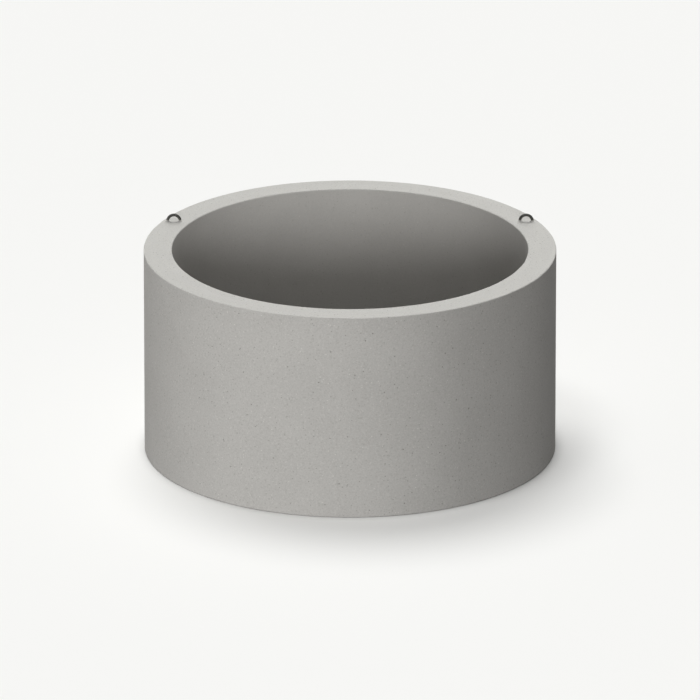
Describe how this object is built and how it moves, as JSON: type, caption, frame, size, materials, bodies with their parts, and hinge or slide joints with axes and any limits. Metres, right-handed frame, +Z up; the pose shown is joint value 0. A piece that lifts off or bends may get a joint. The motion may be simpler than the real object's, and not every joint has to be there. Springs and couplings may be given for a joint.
{
  "type": "concrete well ring",
  "caption": "Precast concrete wall ring for a well or manhole shaft: a plain hollow cylinder with flat joint faces and small round-bar lifting loops in its top face.",
  "frame": {"origin": "centre of the ring's base, on the level that it stands on", "axes": "+Z up along the ring's axis, +X to the right, +Y to the back, where the lifting loops stand"},
  "size_m": [1.16, 1.16, 0.6115],
  "materials": {
    "concrete": "matte",
    "bar_steel": "matte"
  },
  "bodies": {
    "root": {"concrete_ring": "concrete", "lifting_loop_left": "bar_steel", "lifting_loop_right": "bar_steel"}
  },
  "joints": []
}
